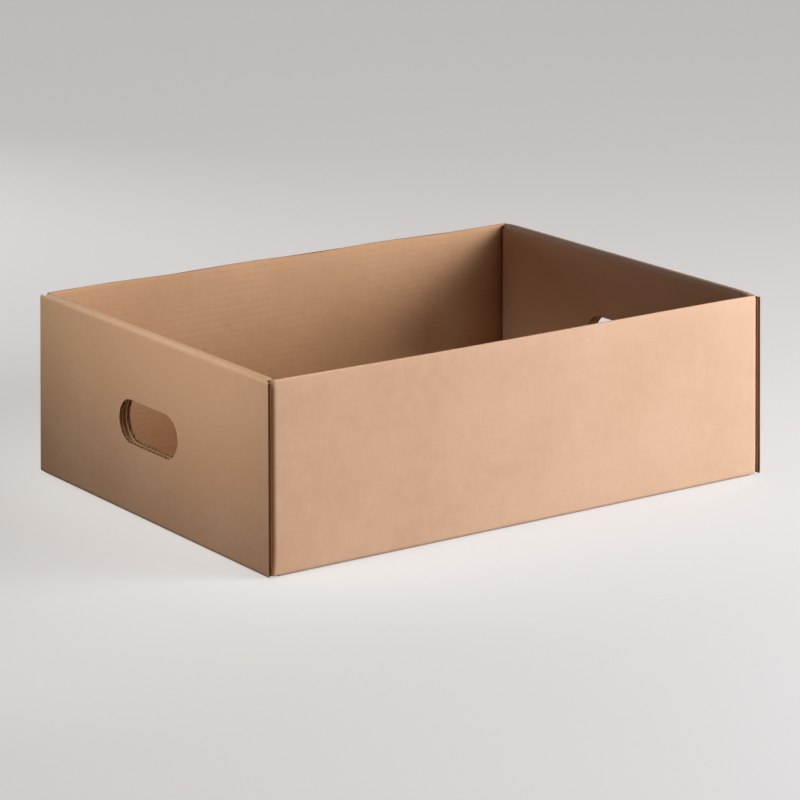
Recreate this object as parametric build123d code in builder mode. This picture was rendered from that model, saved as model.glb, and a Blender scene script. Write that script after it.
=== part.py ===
"""Open tray box folded from one sheet of corrugated board.

The base runs up into two side walls and two end walls. Each end wall is doubled: an outer
panel, a narrow ridge and an inner panel that rolls over the corner flaps and locks into
the base with tabs. Origin at the middle of the underside, X along the length, Z up.
"""

import os

from build123d import *

os.makedirs("parts", exist_ok=True)

# Tray, over its outer faces
length = 500.0
width = 360.0
height = 158.0

# Board
board = 3.0  # thickness of the corrugated board
liner = 0.4  # paper on each face of the flutes
layer_gap = 0.4  # air between two layers that are folded onto each other
fold_inside = 0.3  # radius left on the inside of a creased fold
ridge_fold_inside = 1.0  # softer over the ridge, which rolls round the corner flaps
corner_fold_inside = 1.0  # and where each corner flap turns in from its side wall
half_fold = 45  # degrees, halfway round a fold

# Side walls and corner flaps
wall_drop = 0.8  # side walls end this far below the ridges
flap_length = 112.0
flap_taper = 4.0  # the flap is this much lower at its tip, at the top and at the bottom
flap_tip_radius = 8.0
flap_clearance = 1.0  # flap to the base below it and to the ridge above it
relief_length = 2.6  # cut along the base's side folds, from the corner folds
relief_height = 1.5  # open below each corner fold

# End walls
side_clearance = 3.0  # ridge and inner panel to each side wall
panel_lift = 0.4  # inner panel over the base
panel_foot_chamfer = 6.0  # lower corners of the inner panel
channel_depth = 1.2  # open flute along those raw edges

# Hand holes
hole_length = 92.0
hole_height = 37.0
hole_margin = 60.3  # ridge to the top of the hole
inner_hole_growth = 1.0  # the inner panel's hole is this much larger all round

# Locking tabs, two on each inner panel
tab_width = 42.0
tab_spacing = 190.0
tab_recess = 0.5  # tab's tip above the underside of the base
tab_tip_radius = 1.5
slot_clearance = 0.5  # slot in the base, all round the tab

cut_overrun = 1.0

# Places that follow from these sizes
half_length = length / 2
half_width = width / 2
half_board = board / 2
fold_outside = fold_inside + board
fold_middle = fold_inside + half_board
ridge_fold_middle = ridge_fold_inside + half_board
corner_fold_outside = corner_fold_inside + board
corner_fold_middle = corner_fold_inside + half_board
end_depth = 3 * board + 2 * layer_gap
inner_face = half_length - end_depth
inner_middle = inner_face + half_board
outer_middle = half_length - half_board
side_middle = half_width - half_board
panel_half_width = half_width - board - side_clearance
flap_face = half_length - board - layer_gap
wall_half_length = flap_face - corner_fold_outside
wall_top = height - wall_drop
flap_root = half_width - corner_fold_outside
flap_foot = fold_outside + flap_clearance
flap_top = height - board - flap_clearance
panel_foot = board + panel_lift
hole_centre = height - hole_margin - hole_height / 2

with BuildPart() as corner:
    # Fold at the end of a side wall, seen from above
    with BuildSketch(Plane.XY.offset(relief_height)):
        with BuildLine():
            JernArc(
                start=(wall_half_length, side_middle),
                tangent=(1, 0),
                radius=corner_fold_middle,
                arc_size=-2 * half_fold,
            )
        trace(line_width=board)
    extrude(amount=wall_top - relief_height)

    # Flap that the fold turns in behind the outer panel
    with BuildSketch(Plane.YZ.offset(flap_face - board)) as flap:
        with BuildLine():
            Polyline(
                (flap_root, flap_foot),
                (flap_root, flap_top),
                (flap_root - flap_length, flap_top - flap_taper),
                (flap_root - flap_length, flap_foot + flap_taper),
                close=True,
            )
        make_face()
        fillet(flap.vertices().group_by(Axis.X)[0], flap_tip_radius)
    extrude(amount=board)


def outer_panel_line():
    """Middle line of the outer panel, from halfway round the fold below it to halfway round the ridge's."""
    low = half_board + fold_middle
    high = height - half_board - ridge_fold_middle
    CenterArc((outer_middle - fold_middle, low), fold_middle, -half_fold, half_fold)
    Line((outer_middle, low), (outer_middle, high))
    CenterArc((outer_middle - ridge_fold_middle, high), ridge_fold_middle, 0, half_fold)


with BuildPart() as end_edges:
    # Raw side edges of the outer panel, which cover the ends of the side walls
    with BuildSketch(Plane.XZ.offset(panel_half_width)):
        with BuildLine():
            outer_panel_line()
        trace(line_width=board)
    extrude(amount=half_width - panel_half_width)

    # Open flute between the liners of each raw edge
    with BuildSketch(Plane.XZ.offset(half_width - channel_depth)):
        with BuildLine():
            outer_panel_line()
        trace(line_width=board - 2 * liner)
    extrude(amount=channel_depth + cut_overrun, mode=Mode.SUBTRACT)
    mirror(about=Plane.XZ)

with BuildPart() as tabs:
    # Tabs below the inner panel, through the base
    with BuildSketch(Plane.YZ.offset(inner_face)) as tab_outline:
        with Locations((0, (tab_recess + panel_foot) / 2)):
            with GridLocations(tab_spacing, 0, 2, 1):
                Rectangle(tab_width, panel_foot - tab_recess)
        fillet(tab_outline.vertices().group_by(Axis.Y)[0], tab_tip_radius)
    extrude(amount=board)

with BuildPart() as tray:
    # Base and both end walls: the board's middle line, seen along the width
    with BuildSketch(Plane.XZ):
        with BuildLine():
            FilletPolyline(
                (-inner_middle, panel_foot),
                (-inner_middle, height - half_board),
                (-outer_middle, height - half_board),
                (-outer_middle, half_board),
                (outer_middle, half_board),
                (outer_middle, height - half_board),
                (inner_middle, height - half_board),
                (inner_middle, panel_foot),
                radius=[
                    ridge_fold_middle,
                    ridge_fold_middle,
                    fold_middle,
                    fold_middle,
                    ridge_fold_middle,
                    ridge_fold_middle,
                ],
            )
        trace(line_width=board)
    extrude(amount=panel_half_width, both=True)

    # Lower corners of the inner panels
    near_foot = panel_foot - panel_lift / 2, panel_foot + panel_lift / 2
    panel_feet = tray.faces().filter_by_position(Axis.Z, *near_foot)
    chamfer(panel_feet.edges().filter_by(Axis.X), panel_foot_chamfer)

    # Side walls, folded up from the same base
    with BuildSketch(Plane.YZ):
        with BuildLine():
            FilletPolyline(
                (-side_middle, wall_top),
                (-side_middle, half_board),
                (side_middle, half_board),
                (side_middle, wall_top),
                radius=fold_middle,
            )
        trace(line_width=board)
    extrude(amount=wall_half_length, both=True)

    # Relief cut at each corner, where the folds of the base meet
    right_start = wall_half_length - relief_length
    left_start = -wall_half_length - cut_overrun
    with BuildSketch(Plane.YZ.offset(right_start), Plane.YZ.offset(left_start)):
        with BuildLine():
            Polyline(
                (panel_half_width, -cut_overrun),
                (panel_half_width, fold_outside),
                (half_width - fold_outside, fold_outside),
                (half_width, relief_height),
                (half_width + cut_overrun, relief_height),
                (half_width + cut_overrun, -cut_overrun),
                close=True,
            )
        make_face()
        mirror(about=Plane.YZ)
    extrude(amount=relief_length + cut_overrun, mode=Mode.SUBTRACT)

    # Slots for the locking tabs
    with BuildSketch(Plane.XY.offset(-cut_overrun)):
        with GridLocations(2 * inner_middle, tab_spacing, 2, 2):
            Rectangle(board + 2 * slot_clearance, tab_width + 2 * slot_clearance)
    extrude(amount=board + cut_overrun, mode=Mode.SUBTRACT)

    for one_end in (end_edges.part + tabs.part, corner.part, corner.part.mirror(Plane.XZ)):
        add(one_end)
        add(one_end.mirror(Plane.YZ))

    # Hand holes, through both panels of each end wall
    with BuildSketch(Plane.YZ):
        with Locations((0, hole_centre)):
            SlotOverall(hole_length, hole_height)
    extrude(amount=half_length + cut_overrun, both=True, mode=Mode.SUBTRACT)

    # The inner panel's hole is a little larger
    with BuildSketch(Plane.YZ):
        with Locations((0, hole_centre)):
            SlotOverall(hole_length + 2 * inner_hole_growth, hole_height + 2 * inner_hole_growth)
    extrude(amount=inner_face + board, both=True, mode=Mode.SUBTRACT)

tray.part.label = "tray"
export_step(tray.part, "parts/tray.step")

print("solids", len(tray.part.solids()))
print("volume in cubic millimetres", tray.part.volume)
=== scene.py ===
"""Looks of the corrugated tray box.

The die-cut blank is laid out flat, with its two paper liners and the fluted medium between
them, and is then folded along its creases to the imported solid's shape. Flat places are (u, v, n):
u along the length, v along the width, n up through the board. Sizes are in metres.
"""

import math

import bpy
import numpy as np
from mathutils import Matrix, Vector
from mathutils.geometry import delaunay_2d_cdt


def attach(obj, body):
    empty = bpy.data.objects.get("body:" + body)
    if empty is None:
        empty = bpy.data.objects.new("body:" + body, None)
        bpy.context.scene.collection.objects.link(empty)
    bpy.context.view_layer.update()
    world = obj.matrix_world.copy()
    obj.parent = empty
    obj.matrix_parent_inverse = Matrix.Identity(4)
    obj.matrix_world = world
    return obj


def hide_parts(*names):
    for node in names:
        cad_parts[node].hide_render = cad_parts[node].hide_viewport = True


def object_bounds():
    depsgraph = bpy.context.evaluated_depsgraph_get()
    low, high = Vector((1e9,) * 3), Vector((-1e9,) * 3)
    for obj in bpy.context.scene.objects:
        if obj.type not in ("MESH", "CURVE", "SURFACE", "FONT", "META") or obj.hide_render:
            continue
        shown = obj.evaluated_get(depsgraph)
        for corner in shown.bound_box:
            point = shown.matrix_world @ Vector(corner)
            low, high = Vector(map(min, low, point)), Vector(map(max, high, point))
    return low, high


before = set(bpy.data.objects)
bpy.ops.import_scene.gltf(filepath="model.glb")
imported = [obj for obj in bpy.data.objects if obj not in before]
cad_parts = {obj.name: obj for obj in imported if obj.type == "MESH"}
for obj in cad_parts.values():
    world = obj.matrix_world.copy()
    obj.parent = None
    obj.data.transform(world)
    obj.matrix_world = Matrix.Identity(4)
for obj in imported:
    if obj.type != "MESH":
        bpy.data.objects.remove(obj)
cad_low, cad_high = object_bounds()

# Tray, from the frame
LENGTH, WIDTH, HEIGHT = cad_high - cad_low
HALF_LENGTH, HALF_WIDTH = LENGTH / 2, WIDTH / 2

# Board: the flutes run along the length, and a whole number of them fits half the width
BOARD = 0.0030
LINER = 0.0004
MEDIUM = 0.0002
HALF_WIDTH_FLUTES = 30
LAYER_GAP = 0.0004
FOLD_INSIDE = 0.0003
RIDGE_FOLD_INSIDE = 0.0010
CORNER_FOLD_INSIDE = 0.0010

# Side walls and corner flaps
WALL_DROP = 0.0008
FLAP_LENGTH = 0.112
FLAP_TAPER = 0.004
FLAP_TIP_RADIUS = 0.008
FLAP_CLEARANCE = 0.001
RELIEF_LENGTH = 0.0026
RELIEF_HEIGHT = 0.0015

# End walls
SIDE_CLEARANCE = 0.0030
PANEL_LIFT = 0.0004
PANEL_FOOT_CHAMFER = 0.006

# Hand holes
HOLE_LENGTH = 0.092
HOLE_HEIGHT = 0.037
HOLE_MARGIN = 0.0603
INNER_HOLE_GROWTH = 0.001

# Locking tabs
TAB_WIDTH = 0.042
TAB_SPACING = 0.190
TAB_RECESS = 0.0005
TAB_TIP_RADIUS = 0.0015
SLOT_CLEARANCE = 0.0005

# Mesh of the board
CELL = 0.016
ARC_STEPS = 6
ROUND_STEPS = 20
FLAP_TIP_STEPS = 6
TAB_TIP_STEPS = 3
FOLD_GUARD = 0.0006
WAVE_STEPS = 6
LONG_STEPS = 8
PANEL_STEPS = 9
WELD = 1e-6
SHARP = math.radians(40)

# How the folded board gives: all walls lean in, side walls and outer panels bow out, inner panels bow in
LEAN = 0.0030
WALL_BOW = 0.0012
OUTER_BOW, INNER_BOW = 0.0004, 0.0008

# Top edges are pressed thin. Those of the side walls wave: how much, radians in a tray length, and start
PRESSED, PRESSED_REACH = 0.7, 0.0025
EDGE_UNEVEN = 0.00045
FRONT_WAVE, BACK_WAVE = (1.0, 5.7, -0.6), (1.3, 21.7, -2.9)
CORNER_REACH = 0.040

# The side walls alone bow and wave: powers that keep a move to them and to their tops
TO_SIDES, TO_TOPS = 8, 12

# The ridges' ends sag and spread, and the raw edges of the inner panels stand off
RIDGE_SAG, RIDGE_SPREAD, RIDGE_END_REACH = 0.0006, 0.0014, 0.014
EDGE_OFF, EDGE_IN, EDGE_OFF_REACH = 0.0015, 0.0012, 0.030
TOP_REACH = 0.012

# The side walls have slid along a little, so that one corner fold stands further off its end panel
SLIDE, SLIDE_LESS, SLIDE_REACH = 0.00065, 0.00035, 0.012

# Kraft paper: its two tones, and the sizes and heights of what shows in it
OUTER_DEEP, OUTER_PALE = (0.596, 0.361, 0.231), (0.652, 0.431, 0.298)
INNER_DEEP, INNER_PALE = (0.548, 0.320, 0.176), (0.615, 0.368, 0.206)
# Medium and cut edges are far darker than the paper: partly their own darker colour, partly painted shade
# of the open flutes and raw edges
MEDIUM_DEEP_WITH_SHADE, MEDIUM_PALE_WITH_SHADE = (0.160, 0.084, 0.040), (0.210, 0.114, 0.056)
CUT_DEEP_WITH_SHADE, CUT_PALE_WITH_SHADE = (0.130, 0.066, 0.030), (0.220, 0.118, 0.058)
PAPER_GLOSS, RAW_GLOSS = 0.3, 0.08
# Painted sheen: the outer paper's tone grows paler towards +u, the tray's +x end, by this much a metre
OUTER_PAINTED_SHEEN = 0.7 / LENGTH
OUTER_FLUTES, INNER_FLUTES = -0.00001, 0.00006
CLOUD, CLOUD_RELIEF, CLOUD_DETAIL = 0.085, 0.0004, 3.0
PATCH, PATCH_RELIEF = 0.011, 0.00008
FIBRE_LENGTH, FIBRE_WIDTH, FIBRE_RELIEF = 0.006, 0.0005, 0.00002
STRAND_LENGTH, STRAND_WIDTH = 4 * FIBRE_LENGTH, 3 * FIBRE_WIDTH
FLECK_GAP, FLECK_GAP_ACROSS, FLECK_SHARE, FLECK_AND_FOLD_SHADE_TONE = 0.005, 0.010, 0.10, 0.55
WRINKLE, WRINKLE_RELIEF = 0.0025, 0.00012
CREASE_REACH = 0.004
# Painted shade on the corner folds, behind the end panels' raw edges: how far past the crease it lies,
# and its reach
FOLD_SHADE_PLACE, FOLD_SHADE_REACH = 0.0030, 0.0020

# How much of each pattern shows in the paper's tone and roughness, and where flutes and flecks show
CLOUD_TONE, PATCH_TONE, FIBRE_TONE, STRAND_TONE, EVEN_TONE = 1.6, 0.9, 0.6, 0.5, 0.5
FLUTES_IN_TONE = 0.0004
EVEN_ROUGHNESS, PATCH_ROUGHNESS, CREASE_POLISH = 0.66, 0.25, 0.06
FLUTES_BY_CLOUD, FLUTES_BY_STRAND, FLUTES_EVEN = 2.5, 1.5, 0.6
FLECKS_BY_PATCH, FLECKS_EVEN = 6, 0.4

# Camera, fitted to the photograph
VIEW_TURN = math.radians(35.06)
VIEW_RISE = math.radians(15.21)
VIEW_DISTANCE = 5.564 * LENGTH
VIEW_TARGET = Vector((-0.0596 * LENGTH, -0.0853 * LENGTH, 0.1575 * LENGTH))
VIEW_LENS = 149.9
SENSOR = 36

# Lamps and floor, in tray lengths, and the strength of the world
TRAY_MIDDLE = (0, 0, 0.16)
END_TOP = (-0.5, 0.04, 0.316)
LAMP_DISTANCE = 3.6
SOFT = (1.4, 1.4)
STRIP = (1.0, 0.12)
FLOOR_REACH = 60
WORLD_LIGHT = 0.048

# Floor: how far it lies below the board, the light that it throws back, and how it looks to the camera
FLOOR_DROP = 0.0001
BLACK = (0, 0, 0)
FLOOR_THROWN = (0.12, 0.115, 0.11)
FLOOR_LOOKS = (0.42, 0.45, 0.49)
FLOOR_GLOW = (0.48, 0.455, 0.435)

# Folded places
HALF_BOARD = BOARD / 2
PITCH = HALF_WIDTH / HALF_WIDTH_FLUTES
FOLD_OUTSIDE = FOLD_INSIDE + BOARD
RIDGE_OUTSIDE = RIDGE_FOLD_INSIDE + BOARD
CORNER_OUTSIDE = CORNER_FOLD_INSIDE + BOARD
END_DEPTH = 3 * BOARD + 2 * LAYER_GAP
INNER_FACE = HALF_LENGTH - END_DEPTH
PANEL_HALF_WIDTH = HALF_WIDTH - BOARD - SIDE_CLEARANCE
PANEL_FOOT = BOARD + PANEL_LIFT
FLAP_FACE = HALF_LENGTH - BOARD - LAYER_GAP
FLAP_FOOT = FOLD_OUTSIDE + FLAP_CLEARANCE
FLAP_TOP = HEIGHT - BOARD - FLAP_CLEARANCE
HOLE_CENTRE = HEIGHT - HOLE_MARGIN - HOLE_HEIGHT / 2
HOLE_STRAIGHT = (HOLE_LENGTH - HOLE_HEIGHT) / 2
SLOT_LOW = (TAB_SPACING - TAB_WIDTH) / 2 - SLOT_CLEARANCE
SLOT_HIGH = (TAB_SPACING + TAB_WIDTH) / 2 + SLOT_CLEARANCE


def arc(inside):
    """Length of board, at its middle, in a bend with that radius inside."""
    return (inside + HALF_BOARD) * math.pi / 2


# Creases of the flat blank, each where its bend begins
CORNER_CREASE = FLAP_FACE - CORNER_OUTSIDE
# Middle of the painted shade on each corner fold
CORNER_FOLD_SHADE = CORNER_CREASE + FOLD_SHADE_PLACE
FLAP_START = CORNER_CREASE + arc(CORNER_FOLD_INSIDE)
FLAP_END = FLAP_START + FLAP_LENGTH
END_CREASE = HALF_LENGTH - FOLD_OUTSIDE
OUTER_START = END_CREASE + arc(FOLD_INSIDE)
OUTER_CREASE = OUTER_START + HEIGHT - FOLD_OUTSIDE - RIDGE_OUTSIDE
RIDGE_START = OUTER_CREASE + arc(RIDGE_FOLD_INSIDE)
RIDGE_CREASE = RIDGE_START + END_DEPTH - 2 * RIDGE_OUTSIDE
INNER_START = RIDGE_CREASE + arc(RIDGE_FOLD_INSIDE)
INNER_END = INNER_START + HEIGHT - RIDGE_OUTSIDE - PANEL_FOOT
TAB_END = INNER_END + PANEL_FOOT - TAB_RECESS
SIDE_CREASE = HALF_WIDTH - FOLD_OUTSIDE
WALL_START = SIDE_CREASE + arc(FOLD_INSIDE)
WALL_END = WALL_START + HEIGHT - WALL_DROP - FOLD_OUTSIDE
RELIEF_START = CORNER_CREASE - RELIEF_LENGTH
RELIEF_RISE = math.atan2(FOLD_OUTSIDE - RELIEF_HEIGHT, FOLD_OUTSIDE)
RELIEF_TOP = WALL_START - (FOLD_INSIDE + HALF_BOARD) * RELIEF_RISE
WING_START = (END_CREASE + OUTER_START) / 2
WING_END = (OUTER_CREASE + RIDGE_START) / 2
END_CREASES = (WING_START, WING_END, (RIDGE_CREASE + INNER_START) / 2)
SIDE_CREASES = ((SIDE_CREASE + WALL_START) / 2,)


def on_wall(height):
    """v of the flat blank for a height on a side wall or corner flap."""
    return WALL_START + height - FOLD_OUTSIDE


def on_outer_panel(height):
    """u of the flat blank for a height on an outer end panel."""
    return OUTER_START + height - FOLD_OUTSIDE


def on_inner_panel(height):
    """u of the flat blank for a height on an inner end panel."""
    return INNER_START + HEIGHT - RIDGE_OUTSIDE - height


def box_outline(u_low, u_high, v_low, v_high):
    return [(u_low, v_low), (u_high, v_low), (u_high, v_high), (u_low, v_high)]


def round_corner(centre_u, centre_v, radius, start, turn=90, steps=ROUND_STEPS // 2):
    """Points of an arc, for the outline of a rounded corner. Angles are in degrees."""
    angles = np.radians(start + turn * np.arange(steps + 1) / steps)
    return [(centre_u + radius * math.cos(a), centre_v + radius * math.sin(a)) for a in angles]


def half_hole(u, growth):
    """Outline of one half of a hand hole, on one side of the tray's middle line."""
    radius = HOLE_HEIGHT / 2 + growth
    end = round_corner(u, HOLE_STRAIGHT, radius, 0, 180, ROUND_STEPS)
    return [(u + radius, 0), *end, (u - radius, 0)]


def end_strip_outline():
    """Base beside the end crease, outer panel, ridge, inner panel and locking tab."""
    tab_low = (TAB_SPACING - TAB_WIDTH) / 2
    tab_high = (TAB_SPACING + TAB_WIDTH) / 2
    tip = TAB_END - TAB_TIP_RADIUS
    return [
        (CORNER_CREASE, 0),
        (INNER_END, 0),
        (INNER_END, tab_low),
        *round_corner(tip, tab_low + TAB_TIP_RADIUS, TAB_TIP_RADIUS, -90, steps=TAB_TIP_STEPS),
        *round_corner(tip, tab_high - TAB_TIP_RADIUS, TAB_TIP_RADIUS, 0, steps=TAB_TIP_STEPS),
        (INNER_END, tab_high),
        (INNER_END, PANEL_HALF_WIDTH - PANEL_FOOT_CHAMFER),
        (INNER_END - PANEL_FOOT_CHAMFER, PANEL_HALF_WIDTH),
        (CORNER_CREASE, PANEL_HALF_WIDTH),
    ]


def corner_outline():
    """Fold between a side wall and its corner flap, open at the bottom where the folds meet."""
    foot = on_wall(RELIEF_HEIGHT)
    return [
        (CORNER_CREASE, RELIEF_TOP),
        (CORNER_CREASE + FOLD_GUARD, foot),
        (FLAP_START, foot),
        (FLAP_START, WALL_END),
        (CORNER_CREASE, WALL_END),
    ]


def flap_outline():
    """Corner flap, tapered, with a rounded tip."""
    low, high = on_wall(FLAP_FOOT), on_wall(FLAP_TOP)
    tip = FLAP_END - FLAP_TIP_RADIUS
    tip_low = low + FLAP_TAPER + FLAP_TIP_RADIUS
    tip_high = high - FLAP_TAPER - FLAP_TIP_RADIUS
    return [
        (FLAP_START, low),
        *round_corner(tip, tip_low, FLAP_TIP_RADIUS, -90, steps=FLAP_TIP_STEPS),
        *round_corner(tip, tip_high, FLAP_TIP_RADIUS, 0, steps=FLAP_TIP_STEPS),
        (FLAP_START, high),
    ]


def mesh_lines(low, high):
    """Places of the mesh lines across a flat panel, with one close to each of its creases."""
    lines = set(np.linspace(low, high, math.ceil((high - low) / CELL) + 1))
    return lines | {low + FOLD_GUARD, high - FOLD_GUARD}


def bend_lines(start, inside):
    """Places of the mesh lines across a bend."""
    return set(np.linspace(start, start + arc(inside), ARC_STEPS + 1))


def quarter_blank():
    """Points and triangles of one quarter of the flat blank."""
    paper = [
        box_outline(0, CORNER_CREASE, 0, WALL_END),
        corner_outline(),
        flap_outline(),
        end_strip_outline(),
        box_outline(WING_START, WING_END, PANEL_HALF_WIDTH, HALF_WIDTH),
    ]
    slot = INNER_FACE + HALF_BOARD
    slot_half = HALF_BOARD + SLOT_CLEARANCE
    cuts = [
        box_outline(slot - slot_half, slot + slot_half, SLOT_LOW, SLOT_HIGH),
        box_outline(RELIEF_START, CORNER_CREASE, PANEL_HALF_WIDTH, RELIEF_TOP),
        half_hole(on_outer_panel(HOLE_CENTRE), 0),
        half_hole(on_inner_panel(HOLE_CENTRE), INNER_HOLE_GROWTH),
    ]
    u_lines = mesh_lines(0, CORNER_CREASE) | mesh_lines(INNER_START, INNER_END)
    u_lines |= mesh_lines(OUTER_START, OUTER_CREASE) | bend_lines(END_CREASE, FOLD_INSIDE)
    u_lines |= bend_lines(CORNER_CREASE, CORNER_FOLD_INSIDE)
    u_lines |= bend_lines(OUTER_CREASE, RIDGE_FOLD_INSIDE) | bend_lines(RIDGE_CREASE, RIDGE_FOLD_INSIDE)
    v_lines = mesh_lines(0, SIDE_CREASE) | mesh_lines(WALL_START, WALL_END)
    v_lines |= bend_lines(SIDE_CREASE, FOLD_INSIDE)
    for edge in (PANEL_HALF_WIDTH, WALL_END):
        v_lines |= {edge - PRESSED_REACH, edge - PRESSED_REACH / 2}

    points, edges, faces = [], [], []
    for outline in paper + cuts:
        faces.append(list(range(len(points), len(points) + len(outline))))
        points += outline
    lines = [((u, 0), (u, WALL_END)) for u in sorted(u_lines)]
    lines += [((0, v), (TAB_END, v)) for v in sorted(v_lines)]
    for line in lines:
        edges.append((len(points), len(points) + 1))
        points += line
    made = delaunay_2d_cdt([Vector(p) for p in points], edges, faces, 0, WELD)
    places, triangles, sources = np.array([tuple(p) for p in made[0]]), made[2], made[5]
    kept = [t for t, s in zip(triangles, sources) if s and max(s) < len(paper)]
    return places, np.array(kept)


def whole_blank():
    """The four quarters of the flat blank, joined along its middle lines."""
    places, triangles = quarter_blank()
    all_places, all_triangles = [], []
    for u_side in (1, -1):
        for v_side in (1, -1):
            start = len(places) * len(all_places)
            all_places.append(places * (u_side, v_side))
            all_triangles.append(start + (triangles if u_side == v_side else triangles[:, ::-1]))
    places, triangles = np.concatenate(all_places), np.concatenate(all_triangles)
    keys = np.round(places / WELD)
    _, first, joined = np.unique(keys, axis=0, return_index=True, return_inverse=True)
    used, renumbered = np.unique(joined.ravel()[triangles], return_inverse=True)
    return places[first][used], renumbered.reshape(triangles.shape)


def crease(across, up, flat, start, inside):
    """Bends the blank upwards at one crease: how far across and how far up its points then lie."""
    past = flat - start
    turn = np.clip(past / (inside + HALF_BOARD), 0, math.pi / 2)
    radius = inside + BOARD - up
    beyond = np.where(past >= arc(inside) - WELD, across - start - arc(inside), 0)
    bent_across = start + radius * np.sin(turn)
    bent_up = inside + BOARD - radius * np.cos(turn) + beyond
    return np.where(past > 0, bent_across, across), np.where(past > 0, bent_up, up)


def on_ridge(u):
    """Whether places lie past the wings of the outer panel, where the strip rolls over the ridge."""
    return (np.abs(u) > WING_END - WELD) & (np.abs(u) < INNER_START + WELD)


def folded(flat):
    """Where flat places (u, v, n) lie in the folded tray, before the board gives."""
    u, v, n = np.abs(flat[:, 0]), np.abs(flat[:, 1]), flat[:, 2]
    to_edge = np.where(on_ridge(u) & (v < HALF_WIDTH), PANEL_HALF_WIDTH, WALL_END) - v
    pressed = PRESSED * np.clip(1 - to_edge / PRESSED_REACH, 0, 1) ** 2
    n = HALF_BOARD + (n - HALF_BOARD) * (1 - pressed)

    corner_x, lift = crease(u, n, u, CORNER_CREASE, CORNER_FOLD_INSIDE)
    wall_y, wall_z = crease(v, lift, v, SIDE_CREASE, FOLD_INSIDE)
    upright = u > CORNER_CREASE + WELD
    wall_y = np.where(upright, SIDE_CREASE + FOLD_OUTSIDE - lift, wall_y)
    wall_z = np.where(upright, FOLD_OUTSIDE + v - WALL_START, wall_z)

    end_x, end_z = u, n
    for start, inside in (
        (RIDGE_CREASE, RIDGE_FOLD_INSIDE), (OUTER_CREASE, RIDGE_FOLD_INSIDE), (END_CREASE, FOLD_INSIDE)
    ):
        end_x, end_z = crease(end_x, end_z, u, start, inside)

    in_wall = (v > SIDE_CREASE) & ((u < FLAP_START + WELD) | (v > HALF_WIDTH + WELD))
    x = np.where(in_wall, corner_x, end_x) * np.sign(flat[:, 0])
    y = np.where(in_wall, wall_y, v) * np.sign(flat[:, 1])
    return np.column_stack([x, y, np.where(in_wall, wall_z, end_z)])


def growing(distance, reach):
    """From 0 at a place to 1 at that reach beyond it."""
    return np.clip(distance / reach, 0, 1)


def fading(distance, reach):
    """From 1 at a place to 0 at that reach away from it."""
    return 1 - growing(distance, reach)


def in_end_panels(x, y, z):
    """Whether places are in the end panels and ridges, and not in a side wall or corner flap."""
    in_end = (np.abs(x) > INNER_FACE - WELD) & (z > BOARD + WELD)
    outermost = np.abs(x) > HALF_LENGTH - BOARD - WELD
    return in_end & ((np.abs(y) < PANEL_HALF_WIDTH + WELD) | outermost)


def leaning(x, y, z):
    """Every wall leans in towards its top."""
    rise = growing(z, HEIGHT)
    return -x * LEAN / HALF_LENGTH * rise, -y * LEAN / HALF_WIDTH * rise, 0


def bowing(x, y, z):
    """The side walls and outer panels bow out, and the inner panels bow in."""
    rise = growing(z, HEIGHT)
    middle_x = np.cos(math.pi * np.clip(x / LENGTH, -0.5, 0.5))
    middle_y = np.cos(math.pi * np.clip(y / WIDTH, -0.5, 0.5))
    at_side = (np.abs(y) / HALF_WIDTH) ** TO_SIDES
    out_in_end = growing(np.abs(x) - INNER_FACE, END_DEPTH)
    panel_bow = OUTER_BOW * out_in_end - INNER_BOW * (1 - out_in_end)
    panel_bow = np.where(np.abs(x) > INNER_FACE - BOARD, panel_bow, 0)
    panel_out = panel_bow * middle_y * 4 * rise * (1 - rise)
    return np.sign(x) * panel_out, np.sign(y) * WALL_BOW * at_side * middle_x * rise, 0


def waving_tops(x, y, z):
    """The side walls' top edges wave up and down, less so towards the corners."""
    waves = [share * np.sin(turn * x / LENGTH + start) for share, turn, start in (FRONT_WAVE, BACK_WAVE)]
    at_top = (np.abs(y) / HALF_WIDTH) ** TO_SIDES * growing(z, HEIGHT) ** TO_TOPS
    from_corner = growing(HALF_LENGTH - np.abs(x), CORNER_REACH)
    return 0, 0, EDGE_UNEVEN * np.where(y < 0, *waves) * at_top * from_corner


def sagging_ridges(x, y, z):
    """The ends of the ridges sag and spread outwards."""
    in_ridge = in_end_panels(x, y, z) * fading(HEIGHT - z, TOP_REACH)
    at_end = in_ridge * fading(PANEL_HALF_WIDTH - np.abs(y), RIDGE_END_REACH)
    spread = at_end * (np.abs(y) < PANEL_HALF_WIDTH + WELD)
    return 0, np.sign(y) * RIDGE_SPREAD * spread, -RIDGE_SAG * at_end


def standing_edges(x, y, z):
    """The raw edges of the inner panels stand off into the tray."""
    in_inner = in_end_panels(x, y, z) & (np.abs(x) < INNER_FACE + BOARD + WELD)
    at_edge = in_inner * fading(PANEL_HALF_WIDTH - np.abs(y), EDGE_OFF_REACH)
    at_edge = at_edge * growing(z - PANEL_FOOT, EDGE_OFF_REACH) * growing(HEIGHT - z, TOP_REACH)
    return -np.sign(x) * EDGE_OFF * at_edge, -np.sign(y) * EDGE_IN * at_edge, 0


def sliding_walls(x, y, z):
    """The side walls and their corner flaps have slid along, one end further than the other."""
    in_flap = (np.abs(x) > INNER_FACE + BOARD + WELD) & (z < HEIGHT - BOARD - WELD)
    in_wall = np.abs(y) > PANEL_HALF_WIDTH + WELD
    slid = (in_wall | in_flap) & (np.abs(x) < FLAP_FACE + WELD)
    slid = slid * growing(z - BOARD, SLIDE_REACH) * fading(PANEL_HALF_WIDTH - np.abs(y), EDGE_OFF_REACH)
    return slid * (SLIDE - SLIDE_LESS * x / HALF_LENGTH), 0, 0


def given(places):
    """The folded tray after its board has given. Each move is worked out on the folded places."""
    x, y, z = places.T
    new = [x, y, z]
    for give in (leaning, bowing, waving_tops, sagging_ridges, standing_edges, sliding_walls):
        new = [place + move for place, move in zip(new, give(x, y, z))]
    return np.column_stack(new)


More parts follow.
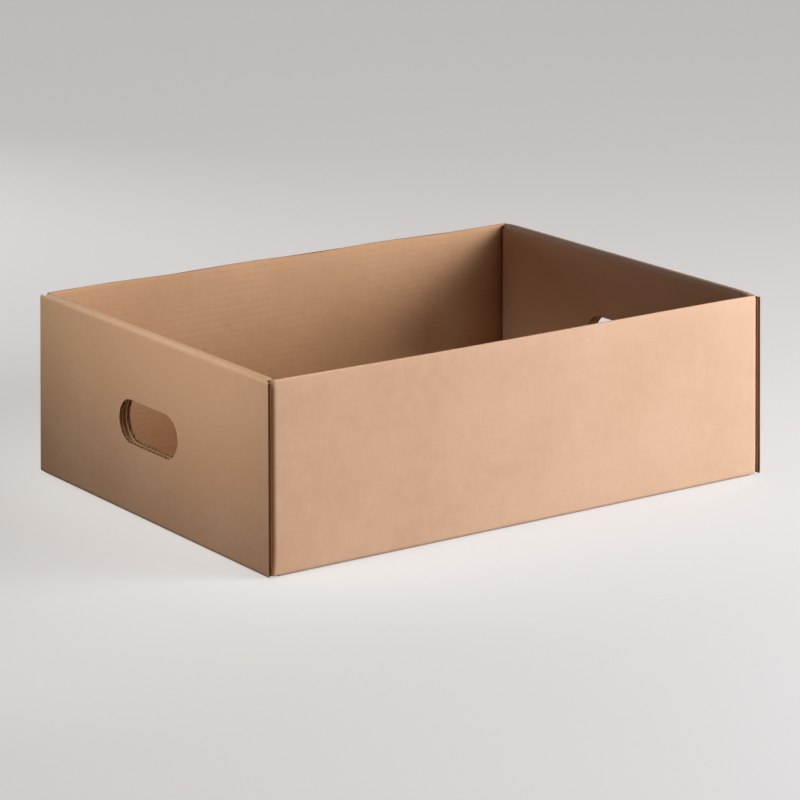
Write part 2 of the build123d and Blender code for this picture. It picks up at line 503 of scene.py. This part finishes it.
def new_piece(name, points, faces, blank_places, materials, cut=()):
    """A mesh object with its blank places as a UV map. Faces numbered in cut take the second material."""
    mesh = bpy.data.meshes.new(name)
    mesh.from_pydata(points.tolist(), [], faces)
    corners = np.empty(len(mesh.loops), np.int32)
    mesh.loops.foreach_get("vertex_index", corners)
    layer = mesh.uv_layers.new(name="blank")
    layer.uv.foreach_set("vector", blank_places[corners].astype(np.float32).ravel())
    for material in materials:
        mesh.materials.append(material)
    slots = np.zeros(len(faces), np.int32)
    slots[list(cut)] = 1
    mesh.polygons.foreach_set("material_index", slots)
    mesh.shade_smooth()
    mesh.set_sharp_from_angle(angle=SHARP)
    piece = bpy.data.objects.new(name, mesh)
    bpy.context.scene.collection.objects.link(piece)
    return piece


def liner(name, low, materials):
    """One paper liner of the whole blank, from n = low up, folded.

    Its rims take the second material, that of a cut edge darkened with painted shade of the open
    flutes, apart from those of the side walls, corner flaps and ridges.
    """
    places, triangles = whole_blank()
    count = len(places)
    flat = np.vstack([np.column_stack([places, np.full(count, n)]) for n in (low, low + LINER)])
    edges = {(a, b) for t in triangles.tolist() for a, b in zip(t, t[1:] + t[:1])}
    rims = sorted((a, b, b + count, a + count) for a, b in edges if (b, a) not in edges)
    faces = triangles[:, ::-1].tolist() + (triangles + count).tolist() + rims
    last_cut = np.where(on_ridge(places[:, 0]), PANEL_HALF_WIDTH - WELD, HALF_WIDTH + WELD)
    plain = np.abs(places[:, 1]) > last_cut
    cut = [face for face, rim in enumerate(rims, 2 * len(triangles)) if not plain[list(rim[:2])].all()]
    return new_piece(name, given(folded(flat)), faces, np.tile(places, (2, 1)), materials, cut)


class Field:
    """A node's output that takes part in sums: each operator adds its Math node."""

    def __init__(self, nodes, socket):
        self.nodes, self.socket = nodes, socket

    def __add__(self, other):
        return self.nodes.maths("ADD", self, other)

    def __sub__(self, other):
        return self.nodes.maths("SUBTRACT", self, other)

    def __rsub__(self, other):
        return self.nodes.maths("SUBTRACT", other, self)

    def __mul__(self, other):
        return self.nodes.maths("MULTIPLY", self, other)

    def __truediv__(self, other):
        return self.nodes.maths("DIVIDE", self, other)

    def __lt__(self, other):
        return self.nodes.maths("LESS_THAN", self, other)

    __radd__ = __add__
    __rmul__ = __mul__


class Nodes:
    """Adds nodes to a shader or geometry tree."""

    def __init__(self, tree):
        self.tree = tree

    def add(self, kind, output, settings=None, **values):
        """A node of that kind, as a Field of its output.

        Each value goes to the socket of its name, or of its number after a _.
        """
        node = self.tree.nodes.new(kind)
        for name, setting in (settings or {}).items():
            setattr(node, name, setting)
        for name, value in values.items():
            socket = node.inputs[int(name[1:]) if name[1:].isdigit() else name.replace("_", " ")]
            if isinstance(value, Field):
                self.tree.links.new(value.socket, socket)
            else:
                socket.default_value = value
        return Field(self, node.outputs[output])

    def maths(self, operation, *terms):
        values = {f"_{k}": term for k, term in enumerate(terms)}
        return self.add("ShaderNodeMath", 0, {"operation": operation}, **values)

    def drive(self, name, field):
        """Has a field drive a socket of the material's shader."""
        self.tree.links.new(field.socket, self.tree.nodes["Principled BSDF"].inputs[name])

    def held(self, value):
        """The value, held between 0 and 1."""
        return self.add("ShaderNodeClamp", 0, Value=value)


def fluting_tree(material):
    """Geometry Nodes tree for one flat stretch of the fluted medium, round a hand hole if it has one."""
    tree = bpy.data.node_groups.new("fluting", "GeometryNodeTree")
    sizes = ["Start", "End", "Low", "High", "Pitch", "Rise", "Middle", "Taper Rise", "Taper Run"]
    sizes += ["Has Hole", "Hole Centre", "Hole Radius", "Hole Straight"]
    counts = ["Run Points", "Span Points"]
    for name in sizes + counts:
        kind = "NodeSocketInt" if name in counts else "NodeSocketFloat"
        tree.interface.new_socket(name, in_out="INPUT", socket_type=kind)
    tree.interface.new_socket("Geometry", in_out="OUTPUT", socket_type="NodeSocketGeometry")
    nodes = Nodes(tree)
    inputs = tree.nodes.new("NodeGroupInput")
    size = {name: Field(nodes, inputs.outputs[name]) for name in sizes + counts}

    grid = nodes.add(
        "GeometryNodeMeshGrid", "Mesh",
        Size_X=1.0, Size_Y=1.0, Vertices_X=size["Run Points"], Vertices_Y=size["Span Points"],
    )
    position = nodes.add("GeometryNodeInputPosition", 0)
    along = nodes.add("ShaderNodeSeparateXYZ", "X", _0=position) + 0.5
    across = nodes.add("ShaderNodeSeparateXYZ", "Y", _0=position) + 0.5

    v = size["Low"] + across * (size["High"] - size["Low"])
    to_side = nodes.maths("MINIMUM", v - size["Low"], size["High"] - v)
    end = size["End"] - size["Taper Run"] * nodes.held(1 - to_side / size["Taper Rise"])
    past_straight = nodes.maths("MAXIMUM", nodes.maths("ABSOLUTE", v) - size["Hole Straight"], 0.0)
    inside = size["Hole Radius"] * size["Hole Radius"] - past_straight * past_straight
    half = nodes.maths("SQRT", nodes.maths("MAXIMUM", inside, 0.0))
    plain_u = size["Start"] + along * (end - size["Start"])
    # A third of the steps lies before the hole, a third across it and a third past it
    holed_u = (
        size["Start"]
        + nodes.held(along * 3) * (size["Hole Centre"] - half - size["Start"])
        + nodes.held(along * 3 - 1) * (half + half)
        + nodes.held(along * 3 - 2) * (end - size["Hole Centre"] - half)
    )
    u = plain_u + size["Has Hole"] * (holed_u - plain_u)
    n = size["Middle"] + size["Rise"] * nodes.maths("COSINE", v / size["Pitch"] * math.tau)

    in_hole = size["Has Hole"] * (nodes.maths("ABSOLUTE", along - 0.5) < 1 / 6)
    cut = nodes.add("GeometryNodeDeleteGeometry", 0, {"domain": "FACE"}, Geometry=grid, Selection=in_hole)
    place = nodes.add("ShaderNodeCombineXYZ", 0, X=u, Y=v, Z=n)
    moved = nodes.add("GeometryNodeSetPosition", 0, Geometry=cut, Position=place)
    welded = nodes.add("GeometryNodeMergeByDistance", 0, Geometry=moved, Distance=WELD)
    real = nodes.add("GeometryNodeRealizeInstances", 0, Geometry=welded)
    painted = nodes.add("GeometryNodeSetMaterial", 0, Geometry=real, Material=material)
    result = tree.nodes.new("NodeGroupOutput")
    tree.links.new(painted.socket, result.inputs["Geometry"])
    return tree


def fluting_stretch(tree, start, end, low, high, steps=1, taper=(0, 1), hole_growth=None, hole_centre=0):
    """Flat points and faces of one stretch of medium, from u = start to end and v = low to high."""
    sizes = {
        "Start": start,
        "End": end,
        "Low": low,
        "High": high,
        "Pitch": PITCH,
        "Rise": HALF_BOARD - LINER - MEDIUM / 2,
        "Middle": HALF_BOARD,
        "Taper Run": taper[0],
        "Taper Rise": taper[1],
        "Run Points": steps + 1,
        "Span Points": math.ceil((high - low) / PITCH * WAVE_STEPS) + 1,
        "Has Hole": hole_growth is not None,
        "Hole Centre": hole_centre,
        "Hole Radius": HOLE_HEIGHT / 2 + (hole_growth or 0),
        "Hole Straight": HOLE_STRAIGHT,
    }
    maker = bpy.data.objects.new("fluting_maker", bpy.data.meshes.new("fluting_maker"))
    modifier = maker.modifiers.new("fluting", "NODES")
    modifier.node_group = tree
    for socket in tree.interface.items_tree:
        if socket.name in sizes:
            kind = int if socket.socket_type == "NodeSocketInt" else float
            modifier[socket.identifier] = kind(sizes[socket.name])
    bpy.context.scene.collection.objects.link(maker)
    evaluated = maker.evaluated_get(bpy.context.evaluated_depsgraph_get())
    mesh = bpy.data.meshes.new_from_object(evaluated)
    places = np.empty(len(mesh.vertices) * 3)
    mesh.vertices.foreach_get("co", places)
    faces = [list(p.vertices) for p in mesh.polygons]
    bpy.data.objects.remove(maker)
    bpy.data.meshes.remove(mesh)
    return places.reshape(-1, 3), faces


def end_stretches():
    """Sizes of the stretches of medium in the end strip, corner fold and flap of the positive end."""
    edge, wing = PANEL_HALF_WIDTH, HALF_WIDTH
    slot_near = INNER_FACE - SLOT_CLEARANCE
    slot_far = INNER_FACE + BOARD + SLOT_CLEARANCE
    chamfer = (PANEL_FOOT_CHAMFER, PANEL_FOOT_CHAMFER)
    tip = (TAB_TIP_RADIUS, TAB_TIP_RADIUS)
    made = [
        dict(start=slot_near, end=END_CREASE, low=-SLOT_LOW, high=SLOT_LOW),
        dict(start=END_CREASE, end=OUTER_START, low=-edge, high=edge, steps=ARC_STEPS),
        dict(start=OUTER_START, end=OUTER_CREASE, low=-wing, high=wing, steps=PANEL_STEPS,
             hole_growth=0, hole_centre=on_outer_panel(HOLE_CENTRE)),
        dict(start=OUTER_CREASE, end=RIDGE_START, low=-edge, high=edge, steps=ARC_STEPS),
        dict(start=RIDGE_START, end=RIDGE_CREASE, low=-edge, high=edge),
        dict(start=RIDGE_CREASE, end=INNER_START, low=-edge, high=edge, steps=ARC_STEPS),
        dict(start=INNER_START, end=INNER_END, low=-edge, high=edge, steps=PANEL_STEPS, taper=chamfer,
             hole_growth=INNER_HOLE_GROWTH, hole_centre=on_inner_panel(HOLE_CENTRE)),
    ]
    one_side = [
        dict(start=slot_near, end=END_CREASE, low=SLOT_HIGH, high=edge),
        dict(start=slot_far, end=END_CREASE, low=SLOT_LOW, high=SLOT_HIGH),
        dict(start=INNER_END, end=TAB_END, low=SLOT_LOW + SLOT_CLEARANCE,
             high=SLOT_HIGH - SLOT_CLEARANCE, taper=tip),
        dict(start=WING_START, end=OUTER_START, low=edge, high=wing, steps=ARC_STEPS // 2),
        dict(start=OUTER_CREASE, end=WING_END, low=edge, high=wing, steps=ARC_STEPS // 2),
        dict(start=CORNER_CREASE, end=FLAP_START, low=on_wall(RELIEF_HEIGHT), high=WALL_END,
             steps=ARC_STEPS),
        dict(start=FLAP_START, end=FLAP_END, low=on_wall(FLAP_FOOT), high=on_wall(FLAP_TOP),
             steps=PANEL_STEPS, taper=(FLAP_LENGTH, FLAP_TAPER)),
    ]
    other_side = [{**sizes, "low": -sizes["high"], "high": -sizes["low"]} for sizes in one_side]
    return made + one_side + other_side


def fluting(material):
    """The fluted medium of the whole board, made stretch by stretch between the bends, and folded."""
    tree = fluting_tree(material)
    long_stretches = (
        (INNER_FACE - SLOT_CLEARANCE, -SIDE_CREASE, SIDE_CREASE),
        (RELIEF_START, SIDE_CREASE, RELIEF_TOP),
        (RELIEF_START, -RELIEF_TOP, -SIDE_CREASE),
        (CORNER_CREASE, RELIEF_TOP, WALL_END),
        (CORNER_CREASE, -WALL_END, -RELIEF_TOP),
    )
    made = [
        fluting_stretch(tree, start=-reach, end=reach, low=low, high=high, steps=LONG_STEPS)
        for reach, low, high in long_stretches
    ]
    ends = [fluting_stretch(tree, **sizes) for sizes in end_stretches()]
    made += ends + [(flat * (-1, 1, 1), [face[::-1] for face in faces]) for flat, faces in ends]

    points, all_faces = [], []
    for flat, faces in made:
        start = sum(len(p) for p in points)
        points.append(flat)
        all_faces += [[start + corner for corner in face] for face in faces]
    flat = np.vstack(points)
    piece = new_piece("fluting", given(folded(flat)), all_faces, flat[:, :2], [material])
    thickness = piece.modifiers.new("paper", "SOLIDIFY")
    thickness.thickness = MEDIUM
    thickness.offset = 0
    return piece


def kraft(name, deep, pale, flutes, seed, gloss=PAPER_GLOSS, painted_sheen=0, painted_fold_shade=0):
    """Kraft paper between two tones: cloudy, fibrous and flecked, with the flutes that high in it.

    Its tone grows paler along the length by that much a metre, towards +u: a painted sheen. Its corner
    folds get painted shade, darker behind the end panels' raw edges, from 0 to 1.
    """
    material = bpy.data.materials.new(name)
    material.use_nodes = True
    nodes = Nodes(material.node_tree)
    place = nodes.add("ShaderNodeUVMap", "UV", {"uv_map": "blank"})

    def stretched(along, across):
        """The place on the blank, in features that long along u and that wide across it."""
        return nodes.add(
            "ShaderNodeVectorMath", 0, {"operation": "MULTIPLY_ADD"},
            _0=place, _1=(1 / along, 1 / across, 0), _2=(seed, seed, seed),
        )

    def noise(along, across, detail=2.0):
        """An uneven field round 0."""
        features = stretched(along, across)
        return nodes.add("ShaderNodeTexNoise", 0, Vector=features, Scale=1.0, Detail=detail) - 0.5

    def beside(coordinate, creases):
        """How near a place is to one of the creases across that coordinate, from 0 to 1."""
        far = nodes.maths("ABSOLUTE", coordinate)
        nearest = CREASE_REACH
        for crease_place in creases:
            nearest = nodes.maths("MINIMUM", nodes.maths("ABSOLUTE", far - crease_place), nearest)
        return 1 - nearest / CREASE_REACH

    u = nodes.add("ShaderNodeSeparateXYZ", "X", _0=place)
    v = nodes.add("ShaderNodeSeparateXYZ", "Y", _0=place)
    clouds = noise(CLOUD, CLOUD, CLOUD_DETAIL)
    patches = noise(PATCH, PATCH)
    fibres = noise(FIBRE_WIDTH, FIBRE_LENGTH)
    strands = noise(STRAND_WIDTH, STRAND_LENGTH)
    wrinkles = noise(WRINKLE, WRINKLE)
    show = nodes.held(clouds * FLUTES_BY_CLOUD + strands * FLUTES_BY_STRAND + FLUTES_EVEN)
    fluted = nodes.maths("COSINE", v / PITCH * math.tau) * show
    creased = nodes.maths("MAXIMUM", beside(u, END_CREASES), beside(v, SIDE_CREASES))
    fleck_places = stretched(FLECK_GAP, FLECK_GAP_ACROSS)
    spots = nodes.add("ShaderNodeTexVoronoi", "Distance", Vector=fleck_places, Scale=1.0)
    flecks = nodes.held(1 - spots / FLECK_SHARE) * nodes.held(patches * FLECKS_BY_PATCH + FLECKS_EVEN)
    # Painted shade: the corner folds darkened on the walls behind the end panels' raw edges, in the
    # flecks' dark colour
    off_fold = nodes.maths("ABSOLUTE", nodes.maths("ABSOLUTE", u) - CORNER_FOLD_SHADE)
    up_wall = nodes.held((nodes.maths("ABSOLUTE", v) - RELIEF_TOP) / FOLD_SHADE_REACH)
    fold_shade_mask = up_wall * nodes.held(1 - off_fold / FOLD_SHADE_REACH) * painted_fold_shade

    tone = clouds * CLOUD_TONE + patches * PATCH_TONE + fibres * FIBRE_TONE + strands * STRAND_TONE
    # u times the painted sheen: paler towards +u
    tone = tone + wrinkles * creased + u * painted_sheen + EVEN_TONE + fluted * (flutes / FLUTES_IN_TONE)
    colour = nodes.add(
        "ShaderNodeMix", 2, {"data_type": "RGBA"}, _0=tone, _6=(*deep, 1), _7=(*pale, 1)
    )
    dark = [channel * FLECK_AND_FOLD_SHADE_TONE for channel in deep]
    flecks_and_painted_shade = nodes.maths("MAXIMUM", flecks, fold_shade_mask)
    nodes.drive("Base Color", nodes.add(
        "ShaderNodeMix", 2, {"data_type": "RGBA"}, _0=flecks_and_painted_shade, _6=colour, _7=(*dark, 1)
    ))
    nodes.drive("Roughness", EVEN_ROUGHNESS + patches * PATCH_ROUGHNESS - creased * CREASE_POLISH)
    material.node_tree.nodes["Principled BSDF"].inputs["Specular IOR Level"].default_value = gloss
    relief = (
        clouds * CLOUD_RELIEF + patches * PATCH_RELIEF + fibres * FIBRE_RELIEF
        + wrinkles * creased * WRINKLE_RELIEF + fluted * flutes
    )
    nodes.drive("Normal", nodes.add("ShaderNodeBump", 0, Strength=1.0, Distance=1.0, Height=relief))
    return material


def lamp(name, place, aim, size, power, colour, spread=180):
    """A rectangular lamp, with its place, aim and size in tray lengths. Spread is in degrees."""
    data = bpy.data.lights.new(name, "AREA")
    data.shape = "RECTANGLE"
    data.size, data.size_y = [side * LENGTH for side in size]
    data.energy, data.color, data.spread = power, colour, math.radians(spread)
    made = bpy.data.objects.new(name, data)
    made.location = Vector(place) * LENGTH
    made.rotation_euler = (Vector(aim) - Vector(place)).to_track_quat("-Z", "Y").to_euler()
    bpy.context.scene.collection.objects.link(made)


def around(turn, rise):
    """A place at the lamps' usual distance from the tray, at that turn and rise in degrees."""
    turn, rise = math.radians(turn), math.radians(rise)
    level = LAMP_DISTANCE * math.cos(rise)
    return level * math.cos(turn), level * math.sin(turn), TRAY_MIDDLE[2] + LAMP_DISTANCE * math.sin(rise)


def camera():
    """The photograph's view, from the front left."""
    level = math.cos(VIEW_RISE)
    towards = Vector((math.sin(VIEW_TURN) * level, math.cos(VIEW_TURN) * level, -math.sin(VIEW_RISE)))
    data = bpy.data.cameras.new("camera")
    data.lens = VIEW_LENS
    data.sensor_width = SENSOR
    made = bpy.data.objects.new("camera", data)
    made.location = VIEW_TARGET - towards * VIEW_DISTANCE
    made.rotation_euler = towards.to_track_quat("-Z", "Y").to_euler()
    bpy.context.scene.collection.objects.link(made)
    bpy.context.scene.camera = made


def floor():
    """A plain pale floor. It looks paler to the camera than the light that it throws back at the tray."""
    mesh = bpy.data.meshes.new("floor")
    reach = FLOOR_REACH * LENGTH
    corners = [(x, y, -FLOOR_DROP) for x, y in box_outline(-reach, reach, -reach, reach)]
    mesh.from_pydata(corners, [], [(0, 1, 2, 3)])
    made = bpy.data.objects.new("floor", mesh)
    bpy.context.scene.collection.objects.link(made)
    material = bpy.data.materials.new("floor")
    material.use_nodes = True
    nodes = Nodes(material.node_tree)
    seen = nodes.add("ShaderNodeLightPath", "Is Camera Ray")
    colours = (("Base Color", FLOOR_THROWN, FLOOR_LOOKS), ("Emission Color", BLACK, FLOOR_GLOW))
    for socket, thrown, looks in colours:
        nodes.drive(socket, nodes.add(
            "ShaderNodeMix", 2, {"data_type": "RGBA"}, _0=seen, _6=(*thrown, 1), _7=(*looks, 1)
        ))
    shader = material.node_tree.nodes["Principled BSDF"]
    shader.inputs["Emission Strength"].default_value = 1.0
    shader.inputs["Roughness"].default_value = 1.0
    mesh.materials.append(material)


# The outer paper carries a painted sheen along its length and painted shade on its corner folds
outer_kraft = kraft(
    "outer_kraft", OUTER_DEEP, OUTER_PALE, OUTER_FLUTES, seed=3, painted_sheen=OUTER_PAINTED_SHEEN, painted_fold_shade=1
)
inner_kraft = kraft("inner_kraft", INNER_DEEP, INNER_PALE, INNER_FLUTES, seed=41)
# Cut edges and medium: partly their own darker colour, partly painted shade of the open flutes
cut_edge = kraft("cut_edge", CUT_DEEP_WITH_SHADE, CUT_PALE_WITH_SHADE, flutes=0, seed=17, gloss=RAW_GLOSS)
medium = kraft("medium", MEDIUM_DEEP_WITH_SHADE, MEDIUM_PALE_WITH_SHADE, flutes=0, seed=29, gloss=RAW_GLOSS)
pieces = [
    liner("outer_liner", 0.0, [outer_kraft, cut_edge]),
    liner("inner_liner", BOARD - LINER, [inner_kraft, cut_edge]),
    fluting(medium),
]
for piece in pieces:
    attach(piece, "root")
    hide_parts("tray")

camera()
floor()
lamp("key", around(-40, 15), TRAY_MIDDLE, SOFT, 16.0, (1.0, 1.0, 1.0))
lamp("key_high", around(-50, 20), TRAY_MIDDLE, SOFT, 12.0, (1.0, 0.94, 0.89))
lamp("key_left", around(-70, 8), TRAY_MIDDLE, SOFT, 13.7, (1.0, 0.985, 1.0))
lamp("end_low", (-1.6, -0.6, 0.28), (-0.5, -0.2, 0.2), (0.6, 0.16), 0.130, (1.0, 0.84, 0.75), spread=70)
lamp("end_high", (-1.2, 0.04, 0.9), END_TOP, STRIP, 0.170, (0.98, 1.0, 0.91), spread=40)
lamp("end_top", (-0.8, -0.08, 0.9), (-0.5, -0.08, 0.12), (0.8, 0.12), 0.066, (1.0, 0.98, 0.88), spread=60)
lamp("back", around(90, 12), TRAY_MIDDLE, SOFT, 2.3, (1.0, 1.0, 1.0), spread=90)
world = bpy.data.worlds.new("world")
bpy.context.scene.world = world
world.use_nodes = True
world.node_tree.nodes["Background"].inputs["Color"].default_value = (1, 1, 1, 1)
world.node_tree.nodes["Background"].inputs["Strength"].default_value = WORLD_LIGHT
bpy.context.scene.view_settings.view_transform = "Standard"
